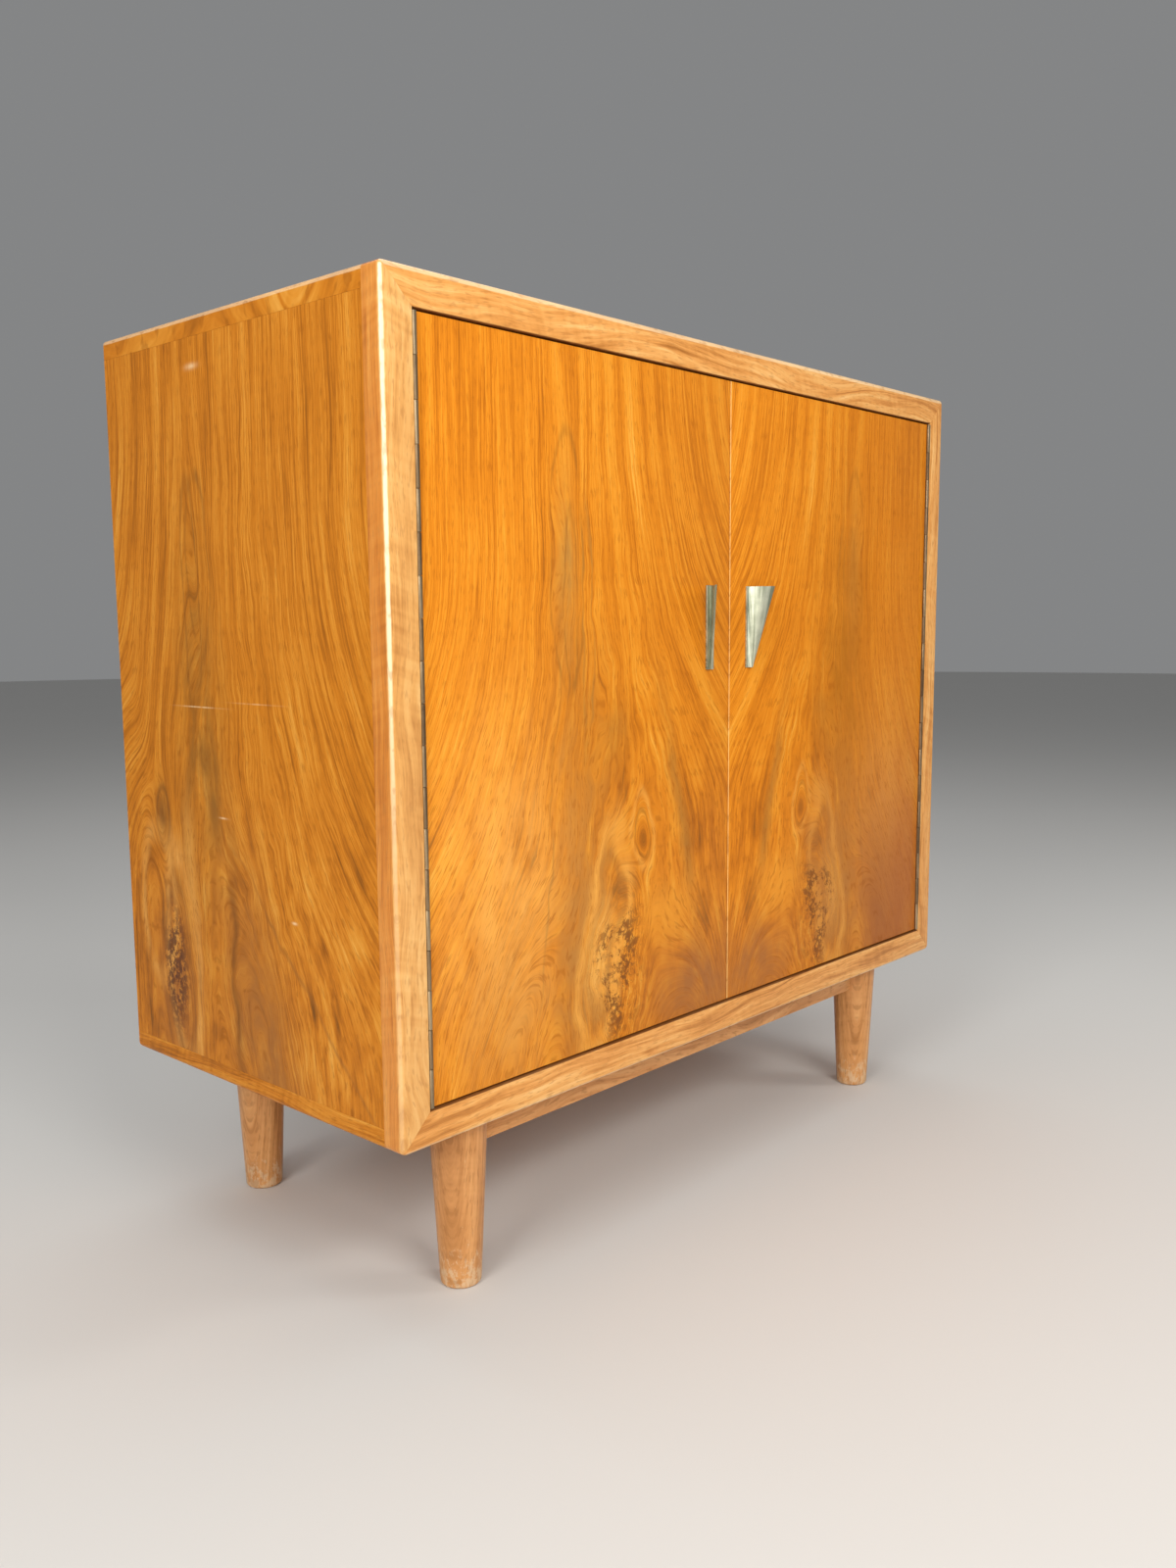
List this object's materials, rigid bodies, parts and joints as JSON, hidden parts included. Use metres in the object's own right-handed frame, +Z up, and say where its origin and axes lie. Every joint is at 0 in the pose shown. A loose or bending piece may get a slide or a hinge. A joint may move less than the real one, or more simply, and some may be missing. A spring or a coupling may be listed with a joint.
{
  "type": "console television cabinet",
  "caption": "Low walnut cabinet on an underframe with turned tapered legs; two inset doors on continuous hinges close a bay for a television set.",
  "frame": {"origin": "on the floor, under the middle of the whole cabinet with its pulls", "axes": "+Z up, front towards -Y, +X towards the right door"},
  "size_m": [0.914, 0.4502, 0.888],
  "materials": {
    "door_veneer": "book-matched walnut veneer, gloss lacquer",
    "side_veneer": "walnut veneer with vertical grain, gloss lacquer",
    "panel_veneer": "walnut veneer with grain from side to side, gloss lacquer",
    "solid_walnut": "solid walnut, satin lacquer",
    "underframe_walnut": "solid walnut, worn satin lacquer",
    "inside_wood": "thinly lacquered veneered board",
    "back_board": "bare hardboard",
    "hinge_metal": "dull plated steel strip",
    "pull_metal": "brushed, lightly tarnished",
    "screw_metal": "dull steel",
    "catch_plastic": "brown moulded"
  },
  "bodies": {
    "cabinet": {"top_panel": "panel_veneer", "top_left_lipping": "solid_walnut", "top_right_lipping": "solid_walnut", "bottom_panel": "panel_veneer", "bottom_left_lipping": "solid_walnut", "bottom_right_lipping": "solid_walnut", "left_side_panel": "side_veneer", "right_side_panel": "side_veneer", "frame_bottom_rail": "solid_walnut", "frame_right_stile": "solid_walnut", "frame_top_rail": "solid_walnut", "frame_left_stile": "solid_walnut", "upper_back_panel": "back_board", "lower_back_panel": "back_board", "set_deck": "inside_wood", "set_deck_lipping": "solid_walnut", "bay_divider": "inside_wood", "bay_divider_lipping": "solid_walnut", "left_deck_cleat": "inside_wood", "right_deck_cleat": "inside_wood", "front_under_rail": "underframe_walnut", "rear_under_rail": "underframe_walnut", "left_under_rail": "underframe_walnut", "right_under_rail": "underframe_walnut", "front_left_leg": "underframe_walnut", "front_right_leg": "underframe_walnut", "rear_left_leg": "underframe_walnut", "rear_right_leg": "underframe_walnut", "underframe_screw_front_left": "screw_metal", "underframe_screw_front_right": "screw_metal", "underframe_screw_rear_left": "screw_metal", "underframe_screw_rear_right": "screw_metal", "left_hinge_frame_leaf": "hinge_metal", "left_hinge_pin": "hinge_metal", "left_magnetic_catch": "catch_plastic", "right_hinge_frame_leaf": "hinge_metal", "right_hinge_pin": "hinge_metal", "right_magnetic_catch": "catch_plastic", "lower_back_screw_low_left": "screw_metal", "lower_back_screw_low_right": "screw_metal", "lower_back_screw_high_left": "screw_metal", "lower_back_screw_high_right": "screw_metal", "upper_back_screw_low_left": "screw_metal", "upper_back_screw_low_right": "screw_metal", "upper_back_screw_high_left": "screw_metal", "upper_back_screw_high_right": "screw_metal"},
    "left_door": {"left_door": "door_veneer", "left_hinge_door_leaf": "hinge_metal", "left_pull": "pull_metal", "left_pull_screw_lower": "screw_metal", "left_pull_screw_upper": "screw_metal", "left_strike_plate": "screw_metal"},
    "right_door": {"right_door": "door_veneer", "right_hinge_door_leaf": "hinge_metal", "right_pull": "pull_metal", "right_pull_screw_lower": "screw_metal", "right_pull_screw_upper": "screw_metal", "right_strike_plate": "screw_metal"}
  },
  "joints": [
    {"name": "left_door_hinge", "type": "hinge", "parent": "cabinet", "child": "left_door", "pos_m": [-0.4229, -0.20378, 0.528], "axis": [0, 0, -1], "range_deg": [0, 170]},
    {"name": "right_door_hinge", "type": "hinge", "parent": "cabinet", "child": "right_door", "pos_m": [0.4229, -0.20378, 0.528], "axis": [0, 0, 1], "range_deg": [0, 170]}
  ]
}
